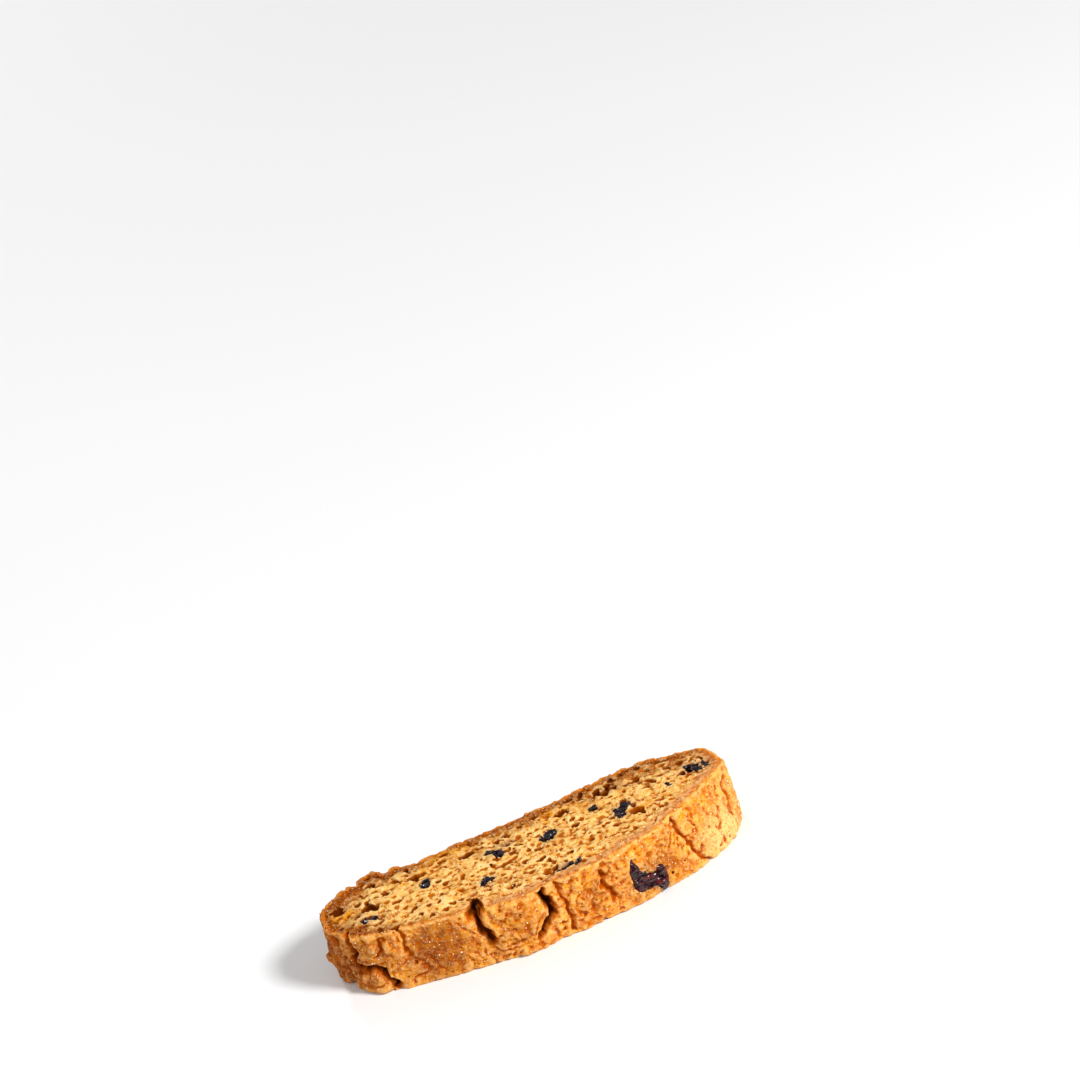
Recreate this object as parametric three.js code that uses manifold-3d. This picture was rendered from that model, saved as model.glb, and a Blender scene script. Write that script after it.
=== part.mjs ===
// A biscotto: one slice of a twice-baked fruit loaf, lying flat on a cut face.
// Millimetres, +Z up. X runs along the slice, and -Y faces the domed, cracked top of the loaf.
// The origin is the middle of the slice's box, on the surface that it lies on.
import * as THREE from "three";
import { mergeVertices } from "three/addons/utils/BufferGeometryUtils.js";
import { ImprovedNoise } from "three/addons/math/ImprovedNoise.js";
import Module from "manifold-3d";

const wasm = await Module();
wasm.setup();

// Driving dimensions
const THICKNESS = 11.8;
const FRUIT_GAP = 0.3;

// The middle of the slice's box in the coordinates that the outline is drawn in.
const CENTRE = [0.94, -1.76];

// The upper cut face's outline, anticlockwise: the right tip, the flat base, the left tip, the domed top.
const OUTLINE = [
  [38.1, 4.0], [36.2, 8.8], [30.0, 10.6], [20.0, 11.2], [8.0, 9.6], [-6.0, 8.6],
  [-18.0, 7.6], [-25.0, 9.4], [-31.0, 7.5], [-36.2, 3.2], [-36.6, -2.6], [-32.0, -8.2],
  [-22.0, -11.4], [-5.0, -13.6], [12.0, -12.5], [22.0, -9.1], [31.0, -3.6], [36.8, 0.8],
];

// The crust's chart: s is the way round the outline from the middle of the domed side, + to the right,
// and z is the height.
const CRUST_STEPS = { domed: 0.62, base: 1.25, domedFrom: -48, domedTo: 42 };
const CRUST_ROWS = 13;
const RIM_ROUNDING = 0.35;

// The loaf was cut aslant, so the lower face reaches further out at the right and less far at the left.
const FLARES = [
  { s: 33.5, spread: 9.5, out: 2.7 },
  { s: -45.0, spread: 9.0, out: -1.7 },
  { s: 23.0, spread: 7.0, out: 0.5 },
];
const FLARE_CURVE = 1.6;

// Raised crags of the crust, each a plate with soft edges.
const CRAGS = [
  { s: -6.9, z: 7.3, halfS: 5.4, halfZ: 5.0, out: 1.3 },
  { s: -7.5, z: 0.9, halfS: 5.0, halfZ: 2.0, out: 0.5 },
  { s: 4.6, z: 6.0, halfS: 1.8, halfZ: 6.0, out: 0.5 },
  { s: 35.0, z: 3.6, halfS: 7.0, halfZ: 4.0, out: 0.5 },
  { s: -32.2, z: 1.9, halfS: 3.4, halfZ: 2.6, out: 0.8 },
  { s: -42.0, z: 5.0, halfS: 3.0, halfZ: 6.0, out: 0.6 },
  { s: -36.6, z: 8.6, halfS: 1.8, halfZ: 2.4, out: 0.5 },
  { s: -58.5, z: 9.5, halfS: 2.4, halfZ: 3.0, out: 0.7 },
  { s: -65.0, z: 9.5, halfS: 2.0, halfZ: 3.0, out: 0.5 },
];
const CRAG_EDGE = 4;

// Cracks of the crust, each along a path of [s, z] points.
const CRACKS = [
  { path: [[-13.0, 12.0], [-14.5, 10.4]], width: 1.5, depth: 3.6 },
  { path: [[-14.5, 10.4], [-13.4, 7.6], [-12.2, 5.6], [-11.0, 3.6]], width: 0.9, depth: 2.4 },
  { path: [[-11.0, 3.6], [-8.0, 2.4], [-4.6, 2.8]], width: 0.7, depth: 1.3 },
  { path: [[-1.6, 11.2], [-1.4, 8.0], [-0.8, 5.6], [-2.4, 4.2], [-3.9, 3.0]], width: 0.8, depth: 2.5 },
  { path: [[1.2, 12.0], [2.0, 6.2], [2.6, 1.0]], width: 0.6, depth: 0.8 },
  { path: [[9.0, 9.6], [10.1, 4.8], [10.4, 3.0]], width: 0.7, depth: 1.2 },
  { path: [[24.5, 11.0], [26.0, 6.8], [27.8, 3.8], [29.2, 0.4]], width: 0.6, depth: 1.1 },
  { path: [[39.6, 9.4], [38.0, 3.8]], width: 0.9, depth: 0.7 },
  { path: [[-26.1, 11.8], [-25.7, 6.0]], width: 0.6, depth: 0.8 },
  { path: [[-30.4, 11.0], [-30.5, 7.4]], width: 0.6, depth: 0.9 },
  { path: [[-36.2, 11.6], [-34.7, 8.0], [-36.8, 6.0], [-34.8, 4.7]], width: 0.8, depth: 1.4 },
  { path: [[-34.8, 4.7], [-30.7, 4.2], [-29.1, 0.8]], width: 0.8, depth: 1.5 },
  { path: [[-39.4, 10.4], [-38.9, 5.2], [-38.0, 0.2]], width: 0.8, depth: 1.3 },
  { path: [[-55.6, 11.8], [-55.0, 4.0]], width: 0.9, depth: 0.9 },
  { path: [[-62.0, 12.0], [-61.6, 5.0]], width: 0.9, depth: 0.9 },
];

// The crust's unevenness: lumps of two sizes, stronger on the domed top than on the flat base.
const CRUST_NOISE = [
  { size: 5.5, out: 0.32 },
  { size: 2.2, out: 0.2 },
];
const BASE_CALM = { from: 52, to: 62, share: 0.4 };
const LEFT_ROUGH = { from: -28, to: -40, share: 1.7 };

// The holes that show most in the upper cut face: place, half sizes and turn in degrees.
const LARGE_PORES = [
  { at: [9.7, 0.5], half: [1.0, 0.8, 1.1], turn: 10 },
  { at: [8.8, 5.3], half: [1.6, 1.0, 1.0], turn: 0 },
  { at: [17.9, 6.6], half: [1.9, 0.9, 0.9], turn: 22 },
  { at: [22.9, 6.6], half: [1.3, 0.7, 0.8], turn: 8 },
  { at: [-29.9, 1.8], half: [0.7, 0.8, 1.1], turn: 0 },
  { at: [-28.6, -0.5], half: [1.4, 1.2, 1.2], turn: -20 },
  { at: [-33.6, 1.4], half: [1.4, 0.7, 1.1], turn: 15 },
  { at: [-26.2, 5.9], half: [1.0, 0.9, 1.1], turn: 0 },
  { at: [-24.7, 1.9], half: [0.8, 0.9, 1.0], turn: 30 },
  { at: [-23.9, -1.6], half: [1.1, 0.8, 0.9], turn: 0 },
  { at: [-9.2, 3.6], half: [1.7, 0.8, 1.0], turn: 12 },
  { at: [-4.9, -2.8], half: [1.5, 0.5, 0.8], turn: 6 },
  { at: [-1.2, -4.4], half: [1.0, 0.5, 0.7], turn: 0 },
  { at: [20.3, -2.1], half: [1.5, 1.0, 0.8], turn: 10 },
  { at: [-19.0, 3.3], half: [2.0, 0.9, 0.9], turn: 14 },
  { at: [31.4, 6.9], half: [1.0, 0.7, 0.8], turn: 0 },
];

// Smaller holes are strewn over both cut faces by a seeded draw.
const SMALL_PORES = { upper: 70, lower: 32, least: 0.45, most: 0.9, apart: 0.5, inset: 1.0, seed: 20 };

// The middle of the lower face has no holes, so that a support touches it there.
const REST_SPOT = { at: CENTRE, half: [4, 4, 4] };

// Dried fruit in the upper cut face: place and half sizes along, across and down, turn in degrees.
const FACE_FRUIT = [
  { name: "fruit_right", at: [17.9, -0.3], half: [1.8, 1.3, 1.5], turn: 38 },
  { name: "fruit_middle", at: [4.8, 0.0], half: [1.5, 1.1, 1.4], turn: 18 },
  { name: "fruit_streak", at: [-5.1, 1.3], half: [1.9, 1.2, 1.5], turn: -16 },
  { name: "fruit_near", at: [-8.3, -5.7], half: [1.5, 0.9, 1.3], turn: 8 },
  { name: "fruit_left", at: [-18.2, 0.2], half: [1.0, 1.3, 1.4], turn: -20 },
  { name: "fruit_left_end", at: [-29.7, -3.2], half: [1.6, 0.9, 1.3], turn: 2 },
  { name: "fruit_right_end", at: [33.9, 4.3], half: [1.6, 1.3, 1.4], turn: 10 },
];
const FRUIT_SUNK = 0.35;
const FRUIT_CUT_BELOW = 0.1;

// The large raisin that shows in the crust.
const RAISIN = { name: "raisin", s: 17.8, z: 4.7, half: [4.2, 2.6, 3.8], out: 1.0, turn: 20, lean: -0.3 };

// Wrinkles of a dried fruit, as a share of its size.
const WRINKLE = { size: 0.8, share: 0.13, raisinSize: 0.55, raisinShare: 0.12 };

// How often each edge of a ball's twenty faces is split.
const FRUIT_DETAIL = 2;
const RAISIN_DETAIL = 5;
const LARGE_PORE_DETAIL = 1;

const noise = new ImprovedNoise();

// A repeatable draw from 0 to 1.
function draws(seed) {
  let state = seed;
  return () => {
    state = (state + 0x6d2b79f5) | 0;
    let mixed = Math.imul(state ^ (state >>> 15), 1 | state);
    mixed = (mixed + Math.imul(mixed ^ (mixed >>> 7), 61 | mixed)) ^ mixed;
    return ((mixed ^ (mixed >>> 14)) >>> 0) / 4294967296;
  };
}

// A value that goes smoothly from 0 at one end to 1 at the other.
function ramp(value, from, to) {
  const share = THREE.MathUtils.clamp((value - from) / (to - from), 0, 1);
  return share * share * (3 - 2 * share);
}

function bell(distance, spread) {
  return Math.exp(-((distance / spread) ** 2));
}

// Points round the outline, closer together on the domed side, each with its way round and outward normal.
function outlinePoints() {
  const curve = new THREE.CatmullRomCurve3(
    OUTLINE.map(([x, y]) => new THREE.Vector3(x, y, 0)), true, "catmullrom", 0.5,
  );
  curve.arcLengthDivisions = 2000;
  const length = curve.getLength();
  let middle = 0;
  for (let share = 0; share < 1; share += 0.0005) {
    const at = curve.getPointAt(share);
    if (at.y < 0 && Math.abs(at.x) < Math.abs(curve.getPointAt(middle).x)) middle = share;
  }
  const points = [];
  let s = -length / 2;
  while (s < length / 2 - CRUST_STEPS.base / 2) {
    const share = THREE.MathUtils.euclideanModulo(middle + s / length, 1);
    const along = curve.getTangentAt(share);
    points.push({ at: curve.getPointAt(share), normal: new THREE.Vector2(along.y, -along.x), s });
    const domed = s > CRUST_STEPS.domedFrom && s < CRUST_STEPS.domedTo;
    s += domed ? CRUST_STEPS.domed : CRUST_STEPS.base;
  }
  return points;
}

// The distance from a chart point to a path of chart points.
function pathDistance(s, z, path) {
  let least = Infinity;
  for (let i = 0; i + 1 < path.length; i += 1) {
    const [as, az] = path[i];
    const [bs, bz] = path[i + 1];
    const [ds, dz] = [bs - as, bz - az];
    const share = THREE.MathUtils.clamp(((s - as) * ds + (z - az) * dz) / (ds * ds + dz * dz), 0, 1);
    least = Math.min(least, Math.hypot(s - as - share * ds, z - az - share * dz));
  }
  return least;
}

// How far the crust stands out from the upper face's outline at a chart point.
function crustOffset(s, z, x, y) {
  const height = z / THICKNESS;
  let out = 0;
  for (const flare of FLARES) {
    out += flare.out * bell(s - flare.s, flare.spread) * (1 - height ** FLARE_CURVE);
  }
  for (const crag of CRAGS) {
    const [along, up] = [Math.abs((s - crag.s) / crag.halfS), Math.abs((z - crag.z) / crag.halfZ)];
    out += crag.out * Math.exp(-(along ** CRAG_EDGE) - up ** CRAG_EDGE);
  }
  for (const crack of CRACKS) {
    out -= crack.depth * bell(pathDistance(s, z, crack.path), crack.width);
  }
  const calm = 1 - (1 - BASE_CALM.share) * ramp(Math.abs(s), BASE_CALM.from, BASE_CALM.to);
  const rough = 1 + (LEFT_ROUGH.share - 1) * ramp(s, LEFT_ROUGH.from, LEFT_ROUGH.to);
  for (const layer of CRUST_NOISE) {
    out += calm * rough * layer.out * 2 * noise.noise(x / layer.size, y / layer.size, z / layer.size);
  }
  return out - RIM_ROUNDING * Math.abs(2 * height - 1) ** 8;
}

// A geometry's points alone, with those at one place made one.
function bare(geometry) {
  const points = geometry.clone();
  points.deleteAttribute("normal");
  points.deleteAttribute("uv");
  return mergeVertices(points, 1e-4);
}

// A closed mesh as a solid of the boolean library.
function solid(geometry) {
  const merged = bare(geometry);
  return new wasm.Manifold(new wasm.Mesh({
    numProp: 3,
    vertProperties: merged.attributes.position.array,
    triVerts: new Uint32Array(merged.index.array),
  }));
}

function geometryOf(made) {
  const mesh = made.getMesh();
  const geometry = new THREE.BufferGeometry();
  geometry.setAttribute("position", new THREE.BufferAttribute(mesh.vertProperties, 3));
  geometry.setIndex(new THREE.BufferAttribute(mesh.triVerts, 1));
  geometry.computeVertexNormals();
  return geometry;
}

// The slice before anything is cut from it: rings of crust from the lower face to the upper one,
// and two flat caps.
function slabGeometry(outline) {
  const position = [];
  const index = [];
  const count = outline.length;
  for (let row = 0; row <= CRUST_ROWS; row += 1) {
    const z = (THICKNESS * row) / CRUST_ROWS;
    for (const { at, normal, s } of outline) {
      const out = crustOffset(s, z, at.x, at.y);
      position.push(at.x + normal.x * out, at.y + normal.y * out, z);
    }
  }
  for (let row = 0; row < CRUST_ROWS; row += 1) {
    for (let i = 0; i < count; i += 1) {
      const [low, next] = [row * count + i, row * count + ((i + 1) % count)];
      index.push(low, next, next + count, low, next + count, low + count);
    }
  }
  for (const [row, upwards] of [[0, false], [CRUST_ROWS, true]]) {
    const ring = [];
    for (let i = 0; i < count; i += 1) {
      const k = 3 * (row * count + i);
      ring.push(new THREE.Vector2(position[k], position[k + 1]));
    }
    for (const [a, b, c] of THREE.ShapeUtils.triangulateShape(ring, [])) {
      const corners = upwards ? [a, b, c] : [a, c, b];
      index.push(...corners.map((corner) => row * count + corner));
    }
  }
  const geometry = new THREE.BufferGeometry();
  geometry.setAttribute("position", new THREE.BufferAttribute(new Float32Array(position), 3));
  geometry.setIndex(index);
  return geometry;
}

// A ball pushed in and out by noise, so that it's wrinkled as dried fruit is.
function wrinkledBall(half, detail, size, share, seed, lean = 0) {
  const geometry = bare(new THREE.IcosahedronGeometry(1, detail));
  const place = geometry.attributes.position;
  const point = new THREE.Vector3();
  for (let i = 0; i < place.count; i += 1) {
    point.fromBufferAttribute(place, i);
    const swell = 1 + 2 * share * noise.noise(point.x / size + seed, point.y / size, point.z / size);
    const along = point.x + lean * point.z;
    place.setXYZ(i, along * half[0] * swell, point.y * half[1] * swell, point.z * half[2] * swell);
  }
  geometry.computeVertexNormals();
  return geometry;
}

function blockGeometry(low, high) {
  const box = new THREE.Box3(new THREE.Vector3(...low), new THREE.Vector3(...high));
  const size = box.getSize(new THREE.Vector3());
  const centre = box.getCenter(new THREE.Vector3());
  return new THREE.BoxGeometry(size.x, size.y, size.z).translate(centre.x, centre.y, centre.z);
}

// A hole's cutter, half above the face that it opens in.
function poreCutter({ at, half, turn }, z, ball) {
  return ball.clone().scale(...half)
    .rotateZ(THREE.MathUtils.degToRad(turn))
    .translate(at[0], at[1], z);
}

// Whether a point is inside the outline by at least the inset.
function insideBy(outline, x, y, inset) {
  let inside = false;
  for (let i = 0, j = outline.length - 1; i < outline.length; j = i, i += 1) {
    const [a, b] = [outline[i].at, outline[j].at];
    if (Math.hypot(a.x - x, a.y - y) < inset) return false;
    if (a.y > y !== b.y > y && x < ((b.x - a.x) * (y - a.y)) / (b.y - a.y) + a.x) inside = !inside;
  }
  return inside;
}

// Small holes at drawn places, clear of each other, of the rim and of what is already there.
function strewnPores(outline, count, taken, random) {
  const pores = [];
  for (let tries = 0; pores.length < count && tries < 6000; tries += 1) {
    const [x, y] = [-36 + 74 * random(), -13 + 24 * random()];
    const radius = SMALL_PORES.least + (SMALL_PORES.most - SMALL_PORES.least) * random() ** 2;
    const clear = [...taken, ...pores].every(
      (other) => Math.hypot(other.at[0] - x, other.at[1] - y) > other.half[0] + radius + SMALL_PORES.apart,
    );
    if (!clear || !insideBy(outline, x, y, radius + SMALL_PORES.inset)) continue;
    pores.push({ at: [x, y], half: [radius * 1.25, radius * 0.85, radius], turn: 40 * (random() - 0.5) });
  }
  return pores;
}

function faceFruitMesh(fruit, seed) {
  const turn = THREE.MathUtils.degToRad(fruit.turn);
  const mesh = new THREE.Mesh(
    wrinkledBall(fruit.half, FRUIT_DETAIL, WRINKLE.size, WRINKLE.share, seed),
    new THREE.MeshStandardMaterial({ color: 0x1a0f14, roughness: 0.35, metalness: 0 }),
  );
  mesh.name = fruit.name;
  mesh.position.set(fruit.at[0], fruit.at[1], THICKNESS - FRUIT_SUNK);
  mesh.rotation.z = turn;
  return mesh;
}

function raisinMesh(outline) {
  const away = (point) => Math.abs(point.s - RAISIN.s);
  const nearest = outline.reduce((best, point) => (away(point) < away(best) ? point : best));
  const wall = crustOffset(RAISIN.s, RAISIN.z, nearest.at.x, nearest.at.y) + RAISIN.out - RAISIN.half[1];
  const mesh = new THREE.Mesh(
    wrinkledBall(RAISIN.half, RAISIN_DETAIL, WRINKLE.raisinSize, WRINKLE.raisinShare, 3.7, RAISIN.lean),
    new THREE.MeshStandardMaterial({ color: 0x2a0d10, roughness: 0.25, metalness: 0 }),
  );
  mesh.name = RAISIN.name;
  const outwards = new THREE.Vector3(nearest.normal.x, nearest.normal.y, 0).multiplyScalar(wall);
  mesh.position.copy(nearest.at).setZ(RAISIN.z).add(outwards);
  mesh.rotation.z = THREE.MathUtils.degToRad(RAISIN.turn);
  return mesh;
}

// A mesh's solid where it lies, and the socket that takes it with the gap all round.
function placedSolid(mesh) {
  mesh.updateMatrix();
  return solid(mesh.geometry.clone().applyMatrix4(mesh.matrix));
}

function socketOf(mesh, half) {
  const grown = mesh.geometry.clone().scale(...half.map((size) => (size + FRUIT_GAP) / size));
  return solid(grown.applyMatrix4(mesh.matrix));
}

function build() {
  const outline = outlinePoints();
  const slice = new THREE.Group();
  const random = draws(SMALL_PORES.seed);
  let biscuit = solid(slabGeometry(outline));

  const knife = solid(blockGeometry([-60, -40, -20], [60, 40, THICKNESS - FRUIT_CUT_BELOW]));
  FACE_FRUIT.forEach((fruit, k) => {
    const mesh = faceFruitMesh(fruit, 11.3 + 7.1 * k);
    const whole = placedSolid(mesh);
    biscuit = biscuit.subtract(socketOf(mesh, fruit.half));
    mesh.geometry = geometryOf(whole.intersect(knife)).applyMatrix4(mesh.matrix.clone().invert());
    slice.add(mesh);
  });

  const raisin = raisinMesh(outline);
  raisin.updateMatrix();
  biscuit = biscuit.subtract(socketOf(raisin, RAISIN.half));
  slice.add(raisin);

  const largeBall = new THREE.IcosahedronGeometry(1, LARGE_PORE_DETAIL);
  const smallBall = new THREE.OctahedronGeometry(1, 1);
  const small = strewnPores(outline, SMALL_PORES.upper, [...LARGE_PORES, ...FACE_FRUIT], random);
  const lower = strewnPores(outline, SMALL_PORES.lower, [REST_SPOT], random);
  const cutters = [
    ...LARGE_PORES.map((pore) => poreCutter(pore, THICKNESS, largeBall)),
    ...small.map((pore) => poreCutter(pore, THICKNESS, smallBall)),
    ...lower.map((pore) => poreCutter(pore, 0, smallBall)),
  ];
  for (const cutter of cutters) biscuit = biscuit.subtract(solid(cutter));

  const mesh = new THREE.Mesh(
    geometryOf(biscuit),
    new THREE.MeshStandardMaterial({ color: 0xd79a58, roughness: 0.85, metalness: 0 }),
  );
  mesh.name = "biscuit";
  slice.add(mesh);
  slice.position.set(-CENTRE[0], -CENTRE[1], 0);
  return new THREE.Group().add(slice);
}

export default build();
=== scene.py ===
"""A slice of a twice-baked fruit loaf: its cracked crust, its open crumb, its dried fruit and its sugar."""

import math

import bpy
import numpy as np
import openvdb
from mathutils import Matrix, Vector


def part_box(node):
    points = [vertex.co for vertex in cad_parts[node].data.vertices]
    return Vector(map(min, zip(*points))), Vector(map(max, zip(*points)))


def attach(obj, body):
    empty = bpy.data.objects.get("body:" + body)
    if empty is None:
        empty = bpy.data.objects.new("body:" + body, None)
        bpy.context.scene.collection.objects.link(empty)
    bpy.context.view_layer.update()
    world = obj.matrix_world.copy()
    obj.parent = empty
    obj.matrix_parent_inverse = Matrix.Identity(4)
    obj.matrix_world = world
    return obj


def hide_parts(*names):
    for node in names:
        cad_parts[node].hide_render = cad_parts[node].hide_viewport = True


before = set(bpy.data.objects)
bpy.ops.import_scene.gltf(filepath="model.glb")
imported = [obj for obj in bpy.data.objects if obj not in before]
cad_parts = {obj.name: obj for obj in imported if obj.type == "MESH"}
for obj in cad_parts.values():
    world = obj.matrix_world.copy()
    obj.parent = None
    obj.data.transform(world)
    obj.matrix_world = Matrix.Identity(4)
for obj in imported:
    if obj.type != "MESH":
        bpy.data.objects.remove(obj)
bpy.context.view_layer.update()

bl_info = {
    "name": "Biscotto Slice",
    "version": (1, 0, 0),
    "blender": (4, 5, 0),
    "location": "3D View > Sidebar > Biscotto",
    "description": "Builds a slice of fruit biscuit on its packed frame",
    "category": "Add Mesh",
}

MM = 0.001
SLICE_LOW, SLICE_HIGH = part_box("biscuit")
THICKNESS = (SLICE_HIGH.z - SLICE_LOW.z) / MM

OVAL = "at half turn"


def rows(keys, values):
    """A table as a list of dicts: its keys, given once, and its rows of values."""
    return [dict(zip(keys.split(), row)) for row in values]


# The middle of the slice's box in the coordinates that the outline is drawn in, in millimetres.
CENTRE = np.array([0.94, -1.76])

# The upper cut face's outline, anticlockwise: the right tip, the flat base, the left tip, the domed top.
OUTLINE = [
    (38.1, 4.0), (36.2, 8.8), (30.0, 10.6), (20.0, 11.2), (8.0, 9.6), (-6.0, 8.6),
    (-18.0, 7.6), (-25.0, 9.4), (-31.0, 7.5), (-36.2, 3.2), (-36.6, -2.6), (-32.0, -8.2),
    (-22.0, -11.4), (-5.0, -13.6), (12.0, -12.5), (22.0, -9.1), (31.0, -3.6), (36.8, 0.8),
]

# How closely the outline is drawn and followed, and how many points are measured against it at once.
OUTLINE_SAMPLES = 6000
OUTLINE_STEP = 0.1
OUTLINE_SKIP = 4
POINTS_AT_ONCE = 4000

# The crust's chart: s is the way round from the middle of the domed side, + to the right, and z the height.
CHART_STEP = 0.12
CHART_MARGIN = 1.0
FLARES = rows("s spread out", [
    (33.5, 9.5, 2.7),
    (-45.0, 9.0, -1.7),
    (23.0, 7.0, 0.5),
    (-61.0, 6.0, -0.6),
])
FLARE_CURVE = 1.6

CRAGS = rows("s z half out", [
    (-6.9, 7.3, (5.4, 5.0), 1.3),
    (-7.5, 0.9, (5.0, 2.0), 0.5),
    (4.6, 6.0, (1.8, 6.0), 0.5),
    (35.0, 3.6, (7.0, 4.0), 0.5),
    (-32.2, 1.9, (3.4, 2.6), 0.8),
    (-42.0, 5.0, (3.0, 6.0), 0.6),
    (-43.5, 2.4, (3.6, 3.2), 0.6),
    (-36.6, 8.6, (1.8, 2.4), 0.5),
    (-58.5, 9.5, (2.4, 3.0), 0.7),
    (-65.0, 9.5, (2.0, 3.0), 0.5),
])

CRACKS = rows("path width depth", [
    ([(-13.0, 12.0), (-13.5, 10.2)], 1.0, 3.0),
    ([(-13.5, 10.2), (-13.0, 7.8), (-12.0, 6.0), (-11.4, 4.8)], 0.8, 2.2),
    ([(-11.0, 3.6), (-8.0, 2.4), (-4.6, 2.8)], 0.45, 0.5),
    ([(-1.6, 11.2), (-1.4, 8.0), (-0.8, 5.6), (-2.4, 4.2), (-3.9, 3.0)], 0.65, 2.6),
    ([(1.2, 12.0), (2.0, 6.2), (2.6, 1.0)], 0.45, 0.8),
    ([(9.0, 9.6), (10.1, 4.8), (10.4, 3.0)], 0.6, 1.2),
    ([(24.5, 11.0), (26.0, 6.8), (27.8, 3.8), (29.2, 0.4)], 0.4, 1.1),
    ([(39.6, 9.4), (38.0, 3.8)], 0.8, 0.7),
    ([(-26.1, 11.8), (-25.7, 6.0)], 0.5, 0.8),
    ([(-30.4, 11.0), (-30.5, 7.4)], 0.45, 1.2),
    ([(-36.2, 11.6), (-34.7, 8.0), (-36.8, 6.0), (-34.8, 4.7)], 0.55, 2.0),
    ([(-34.8, 4.7), (-30.7, 4.2), (-29.1, 0.8)], 0.6, 2.2),
    ([(-39.4, 10.4), (-38.9, 5.2), (-38.0, 0.2)], 0.55, 1.7),
    ([(-55.6, 11.8), (-54.6, 8.4), (-55.2, 6.0)], 0.4, 0.6),
    ([(-62.0, 12.0), (-61.2, 9.6), (-61.9, 7.0)], 0.4, 0.6),
])

# The holes that show most in the upper cut face, the last at the left notch: place, half sizes and degrees.
LARGE_PORES = rows(OVAL, [
    ((9.7, 0.5), (1.0, 0.8, 1.1), 10),
    ((8.8, 5.3), (1.6, 1.0, 1.0), 0),
    ((17.9, 6.6), (1.9, 0.9, 0.9), 22),
    ((22.9, 6.6), (1.3, 0.7, 0.8), 8),
    ((-29.9, 1.8), (0.7, 0.8, 1.1), 0),
    ((-28.6, -0.5), (1.4, 1.2, 1.2), -20),
    ((-33.6, 1.4), (1.4, 0.7, 1.1), 15),
    ((-26.2, 5.9), (1.0, 0.9, 1.1), 0),
    ((-24.7, 1.9), (0.8, 0.9, 1.0), 30),
    ((-23.9, -1.6), (1.1, 0.8, 0.9), 0),
    ((-9.2, 3.6), (1.7, 0.8, 1.0), 12),
    ((-4.9, -2.8), (1.5, 0.5, 0.8), 6),
    ((-1.2, -4.4), (1.0, 0.5, 0.7), 0),
    ((20.3, -2.1), (1.5, 1.0, 0.8), 10),
    ((-19.0, 3.3), (2.0, 0.9, 0.9), 14),
    ((31.4, 6.9), (1.0, 0.7, 0.8), 0),
    ((-13.1, -11.7), (1.2, 1.2, 1.8), 0),
])

# Dried fruit in the upper cut face, each of oval lobes run together: place, half sizes and turn in degrees.
FACE_FRUIT = {
    "fruit_right": rows(OVAL, [
        ((18.8, 0.3), (1.15, 0.95), 20),
        ((17.4, -1.0), (1.0, 1.7), -12),
    ]),
    "fruit_middle": rows(OVAL, [
        ((5.4, 0.4), (1.2, 0.7), 25),
        ((4.2, -0.2), (1.1, 0.7), 0),
    ]),
    "fruit_streak": rows(OVAL, [
        ((-6.2, 1.6), (0.9, 0.6), 10),
        ((-4.5, 0.6), (0.95, 0.85), 20),
    ]),
    "fruit_near": rows(OVAL, [
        ((-9.0, -5.9), (1.0, 0.5), 22),
        ((-8.0, -5.6), (0.95, 0.65), 0),
    ]),
    "fruit_left": rows(OVAL, [((-18.1, 0.1), (1.15, 1.1), 50)]),
    "fruit_left_end": rows(OVAL, [
        ((-30.1, -3.7), (1.0, 0.65), -20),
        ((-29.1, -3.9), (0.9, 0.55), -20),
    ]),
    "fruit_right_end": rows(OVAL, [
        ((32.6, 4.5), (1.3, 0.75), -10),
        ((33.5, 3.1), (0.9, 0.9), 0),
        ((35.1, 3.5), (0.8, 0.75), 0),
    ]),
}
LARGE_PORES_AT = THICKNESS - 0.3
FRUIT_AT = THICKNESS - 0.35
FRUIT_DEEP = 1.3
FRUIT_TOP = THICKNESS - 0.26
SOCKET_TIGHT = 0.14

# Scraps of fruit that only show as specks: place, half sizes and turn in degrees.
SCRAPS = rows(OVAL, [
    ((27.3, 1.2), (0.5, 0.5), 0),
    ((13.9, 3.2), (0.75, 0.45), -20),
    ((4.0, -10.5), (1.1, 0.36), 6),
    ((6.0, -10.2), (0.8, 0.32), 14),
])

# The raisin's lobes from the middle of its node's box: along the crust, out of it and up, turned with it.
RAISIN_TURN = 20
RAISIN_LOBES = rows("at half", [
    ((-0.4, 0.9, -1.3), (2.9, 2.0, 1.5)),
    ((1.8, 0.9, -1.7), (1.4, 2.0, 2.4)),
    ((-3.0, 0.9, 1.5), (0.8, 1.6, 2.9)),
    ((-2.1, 0.9, -0.2), (1.6, 1.9, 1.7)),
    ((2.1, 0.9, -3.15), (0.85, 1.6, 1.2)),
])
RAISIN_PROUD = 0.3

# Small creases strewn over the domed crust: how many, where, how long, wide and deep, and how crooked.
CREASES = dict(count=90, s=(-60, 42), length=(1.2, 4.2), width=(0.2, 0.38), depth=(0.12, 0.5), lean=0.45,
               bend=0.25, seed=15)

# The crumb's holes in each cut face: how many, where, how far from the rim at least, their radii and how rare
# the large ones are, and how they are stretched, turned, sunk in and deep.
PORES = dict(upper=1500, lower=1100, x=(-38, 40), y=(-15, 12), from_rim=0.8, radius=(0.2, 0.66), rarity=3.4,
             stretch=(1.0, 1.8), turn=(8, 28), sunk=(-0.1, 0.5), deep=(1.0, 1.7), seed=7)

# The band of pressed crumb along the domed side's rim: where it begins and ends, and how far in it fades.
PRESSED_BAND = dict(begins=(-22, -8), ends=(44, 52), fades=(1.7, 3.2))

# The few narrow holes of the pressed band, and the crust's pinholes.
BAND_PORES = dict(from_band=0.4, left_out=0.6, most=0.3, stretch=1.6)
PINHOLES = dict(count=260, radius=(0.18, 0.34), proud=(-0.15, 0.1), deep=(1.0, 2.0), from_rim=0.4, z=6.0)

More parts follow.
